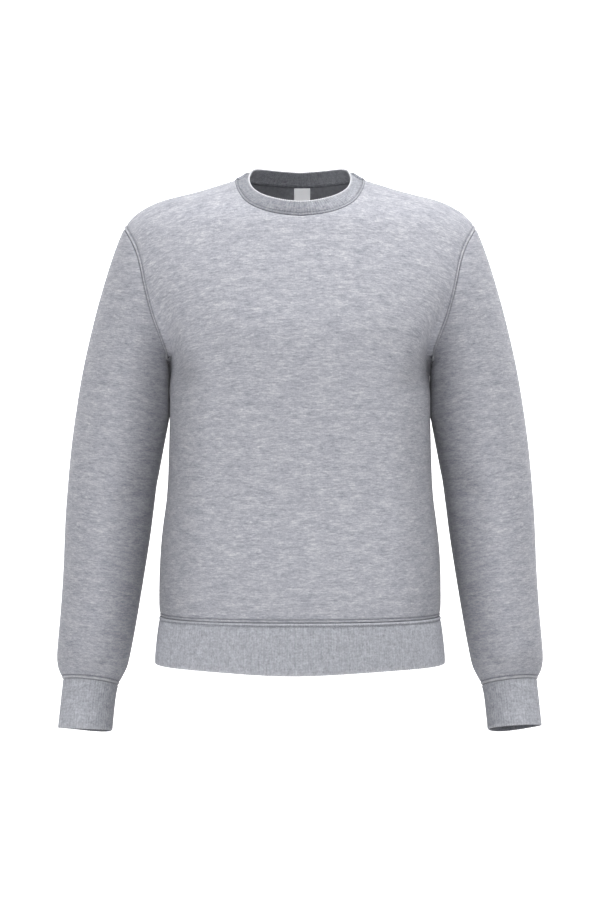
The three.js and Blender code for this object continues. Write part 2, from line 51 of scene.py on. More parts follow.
body_sections = [
    # height, half width, front depth, back depth, squareness
    (-0.0040, 0.0860, 0.0400, 0.0750, 2.00),
    (-0.0075, 0.0896, 0.0440, 0.0770, 2.00),
    (-0.0115, 0.1047, 0.0470, 0.0790, 2.00),
    (-0.0170, 0.1210, 0.0520, 0.0820, 2.00),
    (-0.0225, 0.1390, 0.0550, 0.0850, 2.00),
    (-0.0280, 0.1605, 0.0590, 0.0880, 2.00),
    (-0.0336, 0.1850, 0.0650, 0.0910, 2.00),
    (-0.0390, 0.2010, 0.0710, 0.0940, 2.00),
    (-0.0500, 0.2210, 0.0840, 0.0990, 2.00),
    (-0.0610, 0.2335, 0.0980, 0.1030, 2.00),
    (-0.0735, 0.2425, 0.1055, 0.1075, 2.10),
    (-0.0900, 0.2475, 0.1105, 0.1120, 2.20),
    (-0.1170, 0.2460, 0.1200, 0.1170, 2.35),
    (-0.1390, 0.2410, 0.1270, 0.1200, 2.45),
    (-0.1600, 0.2355, 0.1325, 0.1225, 2.50),
    (-0.1940, 0.2190, 0.1405, 0.1250, 2.50),
    (-0.2120, 0.2065, 0.1440, 0.1250, 2.50),
    (-0.2290, 0.1958, 0.1455, 0.1245, 2.50),
    (-0.2450, 0.1855, 0.1455, 0.1240, 2.50),
    (-0.2620, 0.1810, 0.1453, 0.1230, 2.50),
    (-0.2700, 0.1793, 0.1452, 0.1215, 2.50),
    (-0.2800, 0.1784, 0.1450, 0.1200, 2.50),
    (-0.3100, 0.1782, 0.1443, 0.1155, 2.45),
    (-0.3600, 0.1796, 0.1430, 0.1050, 2.40),
    (-0.4300, 0.1812, 0.1435, 0.1010, 2.40),
    (-0.4630, 0.1853, 0.1455, 0.1040, 2.40),
    (-0.4960, 0.1906, 0.1480, 0.1095, 2.40),
    (-0.5300, 0.1924, 0.1510, 0.1155, 2.40),
    (-0.5650, 0.1930, 0.1530, 0.1205, 2.40),
    (-0.5900, 0.1934, 0.1535, 0.1220, 2.40),
    (-0.6050, 0.1923, 0.1520, 0.1220, 2.40),
]
neck_heights = [
    # turn from the middle of the front, seam height, collar edge height
    (0, -0.0657, -0.0436),
    (12, -0.0641, -0.0428),
    (24, -0.0610, -0.0398),
    (36, -0.0558, -0.0360),
    (48, -0.0484, -0.0308),
    (59, -0.0396, -0.0248),
    (68, -0.0290, -0.0195),
    (76, -0.0205, -0.0134),
    (83, -0.0130, -0.0076),
    (88, -0.0085, -0.0032),
    (93, -0.0072, 0.0008),
    (99, -0.0066, 0.0050),
    (105, -0.0060, 0.0096),
    (120, -0.0048, 0.0146),
    (150, -0.0054, 0.0141),
    (180, -0.0072, 0.0124),
]


def flowing(rows):
    """The columns of a table as smooth functions of its first one: a uniform
    cubic B-spline over the row numbers, carried straight on past both ends."""
    table = np.array(rows, float)
    knots = np.vstack([2 * table[0] - table[1], table, 2 * table[-1] - table[-2]])
    place = np.linspace(0, len(table) - 1, 4000)
    row = np.minimum(place.astype(int), len(table) - 2)
    t = place - row
    weights = ((1 - t) ** 3, 3 * t**3 - 6 * t**2 + 4, -3 * t**3 + 3 * t**2 + 3 * t + 1, t**3)
    line = sum(weight[:, None] * knots[row + k] for k, weight in enumerate(weights)) / 6
    line = line if line[0, 0] < line[-1, 0] else line[::-1]
    return lambda column, at: np.interp(at, line[:, 0], line[:, column])


body = flowing(body_sections)
neck = flowing(neck_heights)


def body_depth_limit(height, side):
    """How deep the body is at a height: its front half (side -1) or back half (side 1)."""
    return np.where(side < 0, body(2, height), body(3, height))


def onto_body(points):
    """Slides each point along its ray from the form's middle, a spine with a
    bar through the shoulders, to where |x/w|^n + |y/d|^n = 1 at its height."""
    x, y, z = np.moveaxis(points, -1, 0)
    bar_height = -0.135
    rise = np.clip((z + 0.3) / (bar_height + 0.3), 0, 1)
    middle = np.stack([0.7 * x * rise**2 * (3 - 2 * rise), 0 * y, np.minimum(z, bar_height)], -1)
    inside = np.full(x.shape, 0.05)
    outside = np.full(x.shape, 3.0)
    for _ in range(34):
        share = (inside + outside) / 2
        trial = middle + share[..., None] * (points - middle)
        power = body(4, trial[..., 2])
        across = np.abs(trial[..., 0]) / body(1, trial[..., 2])
        depth = np.abs(trial[..., 1]) / body_depth_limit(trial[..., 2], trial[..., 1])
        beyond = (across**power + depth**power > 1) | (trial[..., 2] > body_sections[0][0])
        outside = np.where(beyond, share, outside)
        inside = np.where(beyond, inside, share)
    return middle + inside[..., None] * (points - middle)


def run_along(points, axis):
    """Arc length along one axis of a grid of points, from its start."""
    steps = np.linalg.norm(np.diff(points, axis=axis), axis=-1)
    start = np.zeros_like(np.take(steps, [0], axis))
    return np.concatenate([start, np.cumsum(steps, axis)], axis)


def at_shares(curve, shares):
    """Points of a dense polyline at the given shares of its length."""
    run = run_along(curve, 0)
    wanted = np.asarray(shares) * run[-1]
    return np.stack([np.interp(wanted, run, curve[:, k]) for k in range(3)], -1)


# Shares close enough together for smooth dense curves.
fine = np.linspace(0, 1, 3001)


def neck_curve(turn):
    """The neckline seam on the body's surface, by degrees from the middle of the front."""
    x = neck_half_width * np.sin(np.radians(turn))
    z = neck(1, turn)
    side = np.where(turn <= 90, -1, 1)
    power = body(4, z)
    share = np.minimum(np.abs(x) / body(1, z), 1)
    return np.stack([x, side * body_depth_limit(z, side) * (1 - share**power) ** (1 / power), z], -1)


def armhole_curve(side):
    """Half of the left armhole from armpit to shoulder: an oval from the side, on the body."""
    angle = np.pi * (fine - 0.5)
    z = armpit_height + (shoulder_point_height - armpit_height) * (1 + np.sin(angle)) / 2
    y = side * armhole_reach[side] * np.cos(angle)
    power = body(4, z)
    x = body(1, z) * (1 - np.abs(y / body_depth_limit(z, side)) ** power) ** (1 / power)
    return np.stack([x, y, z], -1)


def body_ring(height, turn, side):
    """Half of a body section: a superellipse by its turn from the middle."""
    power = body(4, height)
    sine, cosine = np.sin(turn), np.cos(turn)
    swell = (np.abs(sine) ** power + np.abs(cosine) ** power) ** (-1 / power)
    depth = side * body_depth_limit(height, side)
    return np.stack([body(1, height) * swell * sine, depth * swell * cosine, height + 0 * turn], -1)


def ridge_curve(low, high):
    """The body's widest line on the left, between two heights."""
    z = low + (high - low) * fine
    return np.stack([body(1, z), 0 * z, z], -1)


mirror = np.array([-1, 1, 1])


def side_edge(shares, side):
    """A panel's edge on the left: up the side seam, then the armhole."""
    low = at_shares(ridge_curve(hem_seam_height, armpit_height), np.clip(shares / armpit_share, 0, 1))
    high = at_shares(armhole_curve(side), np.clip((shares - armpit_share) / (1 - armpit_share), 0, 1))
    return np.where((shares > armpit_share)[:, None], high, low)


def top_edge(shares, side):
    """A panel's top from the right shoulder over the neckline to the left shoulder."""
    half = 1 - 2 * np.abs(shares - 0.5)
    part = shoulder_share[side]
    shoulder = at_shares(ridge_curve(shoulder_point_height, neck(1, 90)), np.clip(half / part, 0, 1))
    turns = 90 + side * 90 * fine
    share = np.clip((half - part) / (1 - part), 0, 1)
    neckline = at_shares(neck_curve(turns), share)
    points = np.where((half > part)[:, None], neckline, shoulder)
    return np.where((shares < 0.5)[:, None], points * mirror, points)


def crowded(count, edge_share, edge_count):
    """Shares from 0 to 1 with extra ones close to both ends."""
    ease = np.linspace(0, 1, edge_count, endpoint=False) ** 1.25
    middle = np.linspace(edge_share, 1 - edge_share, count - 2 * edge_count)
    return np.concatenate([edge_share * ease, middle, 1 - edge_share * ease[::-1]])


def panel_points(side, rows, columns):
    """A panel's grid from hem to top: the four edges blended, laid on the body."""
    row_shares = crowded(rows, 0.02, 18)
    column_shares = crowded(columns, 0.022, 18)
    left = side_edge(row_shares, side)
    right = left * mirror
    turns = np.pi * (fine - 0.5)
    hem = at_shares(body_ring(hem_seam_height, turns, side), column_shares)
    top = top_edge(column_shares, side)
    across = column_shares[None, :, None]
    climb = (row_shares**3)[:, None, None]

    def spread(edge):
        """How far an edge lies from the straight line between its ends."""
        return edge[None] - (1 - across) * edge[0] - across * edge[-1]

    points = (1 - across) * right[:, None] + across * left[:, None]
    points = points + (1 - climb) * spread(hem) + climb * spread(top)
    points[1:-1, 1:-1] = onto_body(points[1:-1, 1:-1])
    points[:, 0], points[:, -1], points[0], points[-1] = right, left, hem, top
    return points


def grid_normals(points, closed, outward):
    """Unit normals of a grid from its neighbours' differences."""
    if closed:
        across = np.roll(points, -1, 1) - np.roll(points, 1, 1)
    else:
        across = np.gradient(points, axis=1)
    along = np.gradient(points, axis=0)
    normals = outward * np.cross(across, along)
    return normals / np.maximum(np.linalg.norm(normals, axis=-1, keepdims=True), 1e-12)


def trough(points, path, depth, spread, skew=0.0):
    """Depth of a soft valley along a path seen from the front: a bell across it,
    steeper on one side, fading to nothing at both ends."""
    path = np.array(path, float)
    place = np.linspace(0, len(path) - 1, 60)
    dense = np.stack([np.interp(place, range(len(path)), path[:, k]) for k in (0, 1)], -1)
    for _ in range(6):
        dense[1:-1] = (dense[:-2] + 2 * dense[1:-1] + dense[2:]) / 4
    flat = points[..., (0, 2)].reshape(-1, 2)
    apart = np.linalg.norm(flat[:, None] - dense[None], axis=-1)
    nearest = apart.argmin(1)
    distance = apart.min(1)
    way = np.gradient(dense, axis=0)[nearest]
    off = flat - dense[nearest]
    aside = np.sign(way[:, 0] * off[:, 1] - way[:, 1] * off[:, 0])
    share = nearest / (len(dense) - 1)
    fade = np.sin(np.pi * share) ** 0.8
    width = spread * (1 + skew * aside)
    bell = np.exp(-((distance / width) ** 2))
    rim = 0.25 * np.exp(-(((distance - 2 * width) / width) ** 2))
    return (depth * fade * (bell - rim)).reshape(points.shape[:-1])


def press_seam(points, normals, distance, ridge_end=None, shared=None, ditch=0.0016, ridge=0.0012):
    """Moves the cloth near a seam by its distance from it: down into a narrow
    ditch at the seam, up on a low ridge where the allowance is stitched down, and
    down again under the stitches. At the seam itself both pieces move along the
    same shared directions, so they stay joined."""
    height = -ditch * np.exp(-((distance / 0.0010) ** 2))
    if ridge_end:
        rise = 1 / (1 + np.exp(-(distance - 0.0013) / 0.0003))
        fall = 1 / (1 + np.exp(np.minimum((distance - ridge_end + 0.0008) / 0.0003, 50)))
        height = height + ridge * rise * fall
        height = height - 0.0009 * np.exp(-(((distance - ridge_end) / 0.0007) ** 2))
        height = height - 0.0005 * np.exp(-(((distance - ridge_end) / 0.0035) ** 2))
    way = normals
    if shared is not None:
        blend = np.clip(distance / 0.004, 0, 1)[..., None]
        way = shared * (1 - blend) + normals * blend
        way = way / np.linalg.norm(way, axis=-1, keepdims=True)
    return points + height[..., None] * way


def towards(points, centre, stretch):
    """Unit directions from a centre to points, each axis weighed by the stretch."""
    way = (points - np.array(centre)) * np.array(stretch)
    return way / np.linalg.norm(way, axis=-1, keepdims=True)


def armhole_spokes(points):
    """Directions out of an armhole's loop, from its middle."""
    return towards(points, (0, 0, -0.168), (0, 1, 1)) + np.sign(points) * np.array([0.35, 0, 0])


def neck_spokes(points):
    """Directions out of the neckline: outwards and a little up."""
    return towards(points, (0, 0, -0.10), (1, 1, 0.6))


def hem_spokes(points):
    """Level directions out of the hem seam."""
    return towards(points, (0, 0, 0), (1, 1, 0))


# The stitched_seam mark of cloth with no stitches near it.
no_stitches = 9.0


def sheet_mesh(name, points, uv, closed, outward=1, looped=False, **marks):
    """A grid of points made a mesh with its UV map in metres. A closed grid joins its
    last column to its first, a looped one its last row too. Its marks are attributes:
    plain_seam the distance from a seam in metres, stitched_seam the share of the way
    from a seam to its stitches, shade how much painted shade darkens the cloth and
    fold how much a painted highlight lightens it."""
    rows, columns = points.shape[:2]
    number = np.arange(rows * columns).reshape(rows, columns)
    ring = np.concatenate([number, number[:, :1]], 1) if closed else number
    span = np.concatenate([uv, 2 * uv[:, -1:] - uv[:, -2:-1]], 1) if closed else uv
    if looped:
        ring = np.concatenate([ring, ring[:1]])
        span = np.concatenate([span, 2 * span[-1:] - span[-2:-1]])
    faces = np.stack([ring[:-1, :-1], ring[:-1, 1:], ring[1:, 1:], ring[1:, :-1]], -1).reshape(-1, 4)
    corners = np.stack([span[:-1, :-1], span[:-1, 1:], span[1:, 1:], span[1:, :-1]], -2).reshape(-1, 4, 2)
    if outward < 0:
        faces, corners = faces[:, ::-1], corners[:, ::-1]
    mesh = bpy.data.meshes.new(name)
    mesh.from_pydata(points.reshape(-1, 3), [], faces.tolist())
    uv_layer = mesh.uv_layers.new(name="cloth")
    uv_layer.data.foreach_set("uv", corners.reshape(-1).astype(np.float32))
    for key, usual in (("plain_seam", 1.0), ("stitched_seam", no_stitches), ("shade", 0.0), ("fold", 0.0)):
        mark = marks.get(key, usual) + np.zeros((rows, columns))
        layer = mesh.attributes.new(key, "FLOAT", "POINT")
        layer.data.foreach_set("value", mark.reshape(-1).astype(np.float32))
    mesh.shade_smooth()
    piece = bpy.data.objects.new(name, mesh)
    bpy.context.scene.collection.objects.link(piece)
    return piece


def thicken(piece, thickness):
    """Gives a sheet its thickness inwards; the inside takes the second material."""
    shell = piece.modifiers.new("thickness", "SOLIDIFY")
    shell.thickness = thickness
    shell.offset = -1
    shell.use_rim = True
    shell.material_offset = len(piece.data.materials) - 1


class Shade:
    """A shader socket that adds Math nodes when it is used in arithmetic."""

    def __init__(self, nodes, socket):
        self.nodes = nodes
        self.socket = socket

    def join(self, kind, first, second=0.0):
        """A Math node of this kind on one or two values."""
        node = self.nodes.new("ShaderNodeMath")
        node.operation = kind
        for place, value in enumerate((first, second)):
            if isinstance(value, Shade):
                self.nodes.id_data.links.new(value.socket, node.inputs[place])
            else:
                node.inputs[place].default_value = value
        return Shade(self.nodes, node.outputs[0])

    def __add__(self, other):
        return self.join("ADD", self, other)

    def __radd__(self, other):
        return self.join("ADD", other, self)

    def __sub__(self, other):
        return self.join("SUBTRACT", self, other)

    def __rsub__(self, other):
        return self.join("SUBTRACT", other, self)

    def __mul__(self, other):
        return self.join("MULTIPLY", self, other)

    def __rmul__(self, other):
        return self.join("MULTIPLY", other, self)

    def __truediv__(self, other):
        return self.join("DIVIDE", self, other)


class Finish:
    """One material and the methods that add its nodes."""

    def __init__(self, name):
        self.material = bpy.data.materials.new(name)
        self.material.use_nodes = True
        self.nodes = self.material.node_tree.nodes
        self.shader = self.nodes["Principled BSDF"]

    def fill(self, node, values):
        """Links or sets a node's sockets, named by their words or as i and a number."""
        for key, value in values.items():
            numbered = key[0] == "i" and key[1:].isdigit()
            socket = node.inputs[int(key[1:]) if numbered else key.replace("_", " ")]
            if isinstance(value, Shade):
                self.nodes.id_data.links.new(value.socket, socket)
            else:
                socket.default_value = value

    def add(self, kind, settings=None, out=0, **values):
        """Any node: its kind, its settings, the output wanted and its sockets' values."""
        node = self.nodes.new(kind)
        for key, value in (settings or {}).items():
            setattr(node, key, value)
        self.fill(node, values)
        return Shade(self.nodes, node.outputs[out])

    def feed(self, **values):
        """Links or sets the shader's own sockets."""
        self.fill(self.shader, values)

    def mark(self, name):
        """A mark of the mesh, as a number at each point."""
        return self.add("ShaderNodeAttribute", {"attribute_name": name}, out=2)

    def blend(self, color, other, factor):
        """A colour mixed towards another one by a factor."""
        return self.add("ShaderNodeMix", {"data_type": "RGBA"}, out=2, i0=factor, i6=color, i7=other)

    def ramp(self, factor, stops):
        """A colour ramp from its stops' places and colours, greys as one number."""
        node = self.nodes.new("ShaderNodeValToRGB")
        elements = node.color_ramp.elements
        while len(elements) < len(stops):
            elements.new(0.5)
        for element, (place, color) in zip(elements, stops):
            element.position = place
            element.color = color if isinstance(color, tuple) else (color, color, color, 1)
        self.fill(node, {"i0": factor})
        return Shade(self.nodes, node.outputs[0])

    def streaks(self, length, width, detail, seed, turn=0.0, shift=1.7):
        """Noise over the cloth whose spots are about length by width metres."""
        spot = self.add("ShaderNodeUVMap", {"uv_map": "cloth"})
        placed = self.add("ShaderNodeMapping", Vector=spot, Scale=(1 / length, 1 / width, 1),
                          Location=(seed, seed * shift, seed), Rotation=(0, 0, turn))
        return self.add("ShaderNodeTexNoise", Vector=placed, Scale=1.0, Detail=detail, Roughness=0.6)

    def with_painted_light(self, color, dark, light):
        """A colour with painted shade in the seams' ditches and under their topstitches,
        partly the darker fuzz there, and a painted highlight on the ridge between, by
        the mesh's distances from its seams; then the shade mark's painted shade and the
        fold mark's painted highlight."""
        # Painted shade in each seam's ditch, partly the darker fuzz there.
        ditch = self.ramp(self.mark("plain_seam") / 0.01, [(0.0, 0.5), (0.12, 0.0)])
        from_seam = self.mark("stitched_seam") / 2.0
        # Painted highlight on the ridge where the allowance lies under the cloth.
        ridge = self.ramp(from_seam, [(0.10, 0.0), (0.15, 0.5), (0.28, 0.25), (0.36, 0.0)])
        # Painted shade along the seam itself and under its topstitches.
        lines = self.ramp(from_seam, [(0.0, 0.45), (0.10, 0.0), (0.34, 0.0), (0.47, 0.58),
                                      (0.60, 0.16), (0.80, 0.0)])
        color = self.blend(self.blend(self.blend(color, dark, ditch), light, ridge), dark, lines)
        # Painted shade towards near black by the shade mark, then a painted highlight towards white by the
        # fold mark.
        with_painted_shade = self.blend(color, linear(30, 31, 36), self.mark("shade"))
        return self.blend(with_painted_shade, linear(252, 252, 255), self.mark("fold"))

    def knit(self, color, relief, strength, depth, roughness):
        """The shader of a napped knit: its colour, its loops as bump and a soft sheen."""
        bump = self.add("ShaderNodeBump", Height=relief, Strength=strength, Distance=depth)
        self.feed(Base_Color=color, Roughness=roughness, Normal=bump, Specular_IOR_Level=0.2)
        self.feed(Sheen_Weight=0.25, Sheen_Roughness=0.5, Sheen_Tint=(0.95, 0.96, 1.0, 1))
        return self.material


def linear(red, green, blue):
    """A colour by its usual red, green and blue out of 255, made linear for the shader."""
    values = np.array([red, green, blue]) / 255
    return (*np.where(values > 0.04045, ((values + 0.055) / 1.055) ** 2.4, values / 12.92), 1)


def heather_finish(name, light, middle, dark, fleck_length, fleck_width, depth):
    """Heather knit: pale and bluish-grey fibres drawn out along the courses, over
    slow mottling, with the fine loops of the knit as bump and a soft nap."""
    finish = Finish(name)
    long_fleck = finish.streaks(fleck_length, fleck_width, 3.0, 3.1)
    slant_fleck = finish.streaks(fleck_length * 0.7, fleck_width * 0.8, 2.0, 11.3, 0.12)
    short_fleck = finish.streaks(fleck_length * 0.3, fleck_width * 0.5, 2.0, 7.7)
    patch = finish.streaks(0.030, 0.009, 2.0, 17.0, 0.05)
    grain = finish.streaks(0.0020, 0.0018, 1.0, 29.0)
    mixed = 0.24 * long_fleck + 0.22 * slant_fleck + 0.20 * short_fleck + 0.20 * patch + 0.14 * grain
    color = finish.ramp((mixed - 0.5) * depth + 0.5, [(0.0, dark), (0.5, middle), (1.0, light)])
    spot = finish.add("ShaderNodeUVMap", {"uv_map": "cloth"})
    loops = finish.add("ShaderNodeTexWave", {"wave_type": "BANDS", "bands_direction": "X"}, out=1,
                       Vector=spot, Scale=150.0, Distortion=1.5, Detail=1.0, Detail_Scale=2.0)
    fuzz = finish.streaks(0.0012, 0.0012, 3.0, 23.0)
    relief = 0.35 * loops + 0.65 * fuzz + 0.5 * short_fleck
    # Painted shade at the seams and under the stitches, and a painted highlight on the ridges beside them.
    color = finish.with_painted_light(color, linear(98, 100, 108), linear(250, 251, 254))
    return finish.knit(color, relief, 0.35, 0.0006, 0.92)


fleece = heather_finish("heather fleece jersey", linear(231, 231, 233), linear(189, 190, 199),
                        linear(146, 149, 161), 0.0105, 0.0022, 3.6)
fleece_inside = heather_finish("brushed fleece inside", linear(176, 177, 184), linear(150, 151, 158),
                               linear(120, 121, 128), 0.006, 0.005, 2.5)

# How far from the seams the allowances are stitched down.
armhole_stitch = 0.0050
hem_stitch = 0.0042

front_folds = [
    # path seen from the front (x, z), depth, spread, skew
    (((0.202, -0.176), (0.190, -0.215), (0.174, -0.262), (0.160, -0.310)), 0.0095, 0.014, -0.2),
    (((0.176, -0.222), (0.150, -0.275), (0.118, -0.318)), 0.0022, 0.018, 0.0),
    (((-0.202, -0.182), (-0.189, -0.222), (-0.172, -0.262), (-0.156, -0.300)), 0.0080, 0.014, 0.2),
    (((-0.186, -0.172), (-0.174, -0.205), (-0.162, -0.240)), 0.0028, 0.011, 0.0),
    (((-0.172, -0.230), (-0.146, -0.278), (-0.118, -0.306)), 0.0014, 0.018, 0.0),
    (((0.190, -0.470), (0.150, -0.520), (0.100, -0.545)), 0.0012, 0.022, 0.1),
    (((-0.192, -0.480), (-0.155, -0.528), (-0.110, -0.550)), 0.0011, 0.022, -0.1),
]
back_folds = [
    (((0.204, -0.180), (0.184, -0.225), (0.160, -0.275)), 0.0050, 0.014, -0.1),
    (((-0.204, -0.186), (-0.182, -0.232), (-0.158, -0.272)), 0.0044, 0.014, 0.1),
    (((0.165, -0.360), (0.105, -0.385), (0.040, -0.392)), 0.0022, 0.018, 0.1),
    (((-0.170, -0.385), (-0.112, -0.412), (-0.052, -0.420)), 0.0019, 0.019, 0.1),
    (((0.168, -0.455), (0.118, -0.438), (0.060, -0.430)), 0.0014, 0.016, -0.1),
    (((0.060, -0.075), (0.110, -0.120), (0.140, -0.180)), 0.0012, 0.020, 0.0),
    (((-0.062, -0.070), (-0.108, -0.118), (-0.138, -0.176)), 0.0012, 0.020, 0.0),
]


def cloth_rise(points, side):
    """How high up its cut a point of a panel lies: its height, plus how far the
    surface has turned away from the body's front or back towards the shoulder and
    the armhole, so that the courses rise towards the middle there."""
    y, z = points[..., 1], points[..., 2]
    turned = body_depth_limit(z, side + 0 * z) - np.abs(y)
    rise = np.clip((z + 0.33) / 0.15, 0, 1)
    return z + 0.55 * rise**2 * (3 - 2 * rise) * turned


def relax_neck_corners(points):
    """Relaxes a panel below both ends of its neckline: again and again each point
    there moves towards the middle of its four neighbours."""
    aside = (np.abs(points[..., :1]) - neck_half_width) / 0.035
    below = (points[..., 2:] - neck(1, 90)) / 0.05
    ease = np.exp(-(aside**2 + below**2))[1:-1, 1:-1]
    for _ in range(160):
        between = (points[2:, 1:-1] + points[:-2, 1:-1] + points[1:-1, 2:] + points[1:-1, :-2]) / 4
        points[1:-1, 1:-1] += ease * (between - points[1:-1, 1:-1])


def panel(name, side, folds, node):
    """One body panel with its folds, seam relief and thickness."""
    points = panel_points(side, 150, 160)
    if side > 0:
        relax_neck_corners(points)
    normals = grid_normals(points, False, -side)
    along = run_along(points, 0)
    across = run_along(points, 1)
    from_side = np.minimum(across, across[:, -1:] - across)
    from_top = along[-1:] - along
    edge_fade = np.clip(np.minimum(from_side, np.minimum(along, from_top)) / 0.02, 0, 1)
    edge_fade = edge_fade**2 * (3 - 2 * edge_fade)
    valley = sum(trough(points, *fold) for fold in folds)
    points = points - (valley * edge_fade)[..., None] * normals
    normals = grid_normals(points, False, -side)
    in_armhole = points[:, :1, 2] + 0 * from_side > armpit_height + 0.001
    beside_neck = np.abs(points[-1:, :, :1]) < neck_half_width + 0.001
    course = cloth_rise(points, side)
    middle = across - across[:, points.shape[1] // 2][:, None]
    armhole_pressed = press_seam(points, normals, from_side, armhole_stitch, armhole_spokes(points))
    side_pressed = press_seam(points, normals, from_side, None, hem_spokes(points))
    neck_pressed = press_seam(points, normals, from_top, None, neck_spokes(points), 0.0010)
    upwards = np.array([0.0, 0, 1]) + 0 * points
    shoulder_pressed = press_seam(points, normals, from_top, None, upwards, 0.0010)
    hem_pressed = press_seam(points, normals, along, hem_stitch, hem_spokes(points), 0.0020, 0.0002)
    points = (np.where(in_armhole[..., None], armhole_pressed, side_pressed) - points
              + np.where(beside_neck, neck_pressed, shoulder_pressed) - points + hem_pressed)
    by_armhole = np.where(in_armhole, from_side / armhole_stitch, no_stitches)
    stitched_seam = np.minimum(by_armhole, np.maximum(along / hem_stitch, 0.7))
    plain_seam = np.minimum(np.minimum(np.where(in_armhole, 1.0, from_side), from_top), along)
    # Painted shade: darker where the sides turn away below the chest, and under each armpit.
    turned = np.clip((np.abs(normals[..., 0]) - 0.5) / 0.5, 0, 1)
    shade = 0.34 * turned * np.clip((-0.20 - points[..., 2]) / 0.08, 0, 1)
    armpit_painted_shade = np.exp(-((from_side / 0.022) ** 2) - ((points[..., 2] - armpit_height) / 0.035) ** 2)
    shade = shade + 0.34 * armpit_painted_shade * (1 - turned)
    piece = sheet_mesh(name, points, np.stack([middle, course], -1), False, -side,
                       plain_seam=plain_seam, stitched_seam=stitched_seam, shade=shade)
    piece.data.materials.append(fleece)
    piece.data.materials.append(fleece_inside)
    thicken(piece, panel_thickness)
    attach(piece, "root")
    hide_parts(node)
    return points, normals, along, across


front_points, front_normals, front_along, front_across = panel(
    "front_panel", -1, front_folds, "front")
back_points, back_normals, back_along, back_across = panel(
    "back_panel", 1, back_folds, "back")

# Sleeves. Two long set-in sleeves of the same jersey, each cut in one piece and
# seamed under the arm, overlocked into the armholes. They rest on the body just
# under the armpits, bend forward a little at the elbow and blouse over the cuffs.

sleeve_sections = [
    # height, centre out, centre forward, half width, half depth
    (-0.330, 0.2442, -0.0050, 0.0642, 0.0680),
    (-0.348, 0.2480, -0.0050, 0.0636, 0.0670),
    (-0.381, 0.2528, -0.0045, 0.0630, 0.0650),
    (-0.414, 0.2575, -0.0025, 0.0610, 0.0635),
    (-0.447, 0.2608, 0.0010, 0.0601, 0.0620),
    (-0.480, 0.2633, 0.0060, 0.0595, 0.0605),
    (-0.529, 0.2671, 0.0160, 0.0562, 0.0580),
    (-0.577, 0.2713, 0.0280, 0.0533, 0.0550),
    (-0.625, 0.2764, 0.0410, 0.0510, 0.0520),
    (-0.657, 0.2806, 0.0495, 0.0492, 0.0478),
    (-0.671, 0.2820, 0.0532, 0.0474, 0.0420),
    (-0.684, 0.2825, 0.0562, 0.0414, 0.0325),
    (-0.692, 0.2830, 0.0582, 0.0370, 0.0265),
]
cuff_sections = [
    (-0.706, 0.2850, 0.0625, 0.0366, 0.0260),
    (-0.730, 0.2870, 0.0690, 0.0364, 0.0255),
    (-0.753, 0.2888, 0.0755, 0.0366, 0.0250),
]
arm = flowing(sleeve_sections + cuff_sections)
cuff_seam_height = sleeve_sections[-1][0]
fan_end_height = sleeve_sections[0][0]


def arm_axis(heights):
    """The middle of the left sleeve or cuff at given heights."""
    return np.stack([arm(1, heights), -arm(2, heights), heights], -1)


def arm_rings(heights, turns):
    """Rings square to the sleeve's axis, from under the arm over the front:
    middle - w cos(turn) outward + d sin(turn) ahead."""
    down = arm_axis(heights - 0.004) - arm_axis(heights + 0.004)
    down /= np.linalg.norm(down, axis=-1, keepdims=True)
    outward = np.array([1.0, 0, 0]) - down[:, :1] * down
    outward /= np.linalg.norm(outward, axis=-1, keepdims=True)
    ahead = np.cross(outward, down)
    ahead *= -np.sign(ahead[:, 1:2])
    width, depth = arm(3, heights)[:, None, None], arm(4, heights)[:, None, None]
    cosine, sine = np.cos(turns)[None, :, None], np.sin(turns)[None, :, None]
    rings = arm_axis(heights)[:, None] - width * cosine * outward[:, None] + depth * sine * ahead[:, None]
    return rings, down


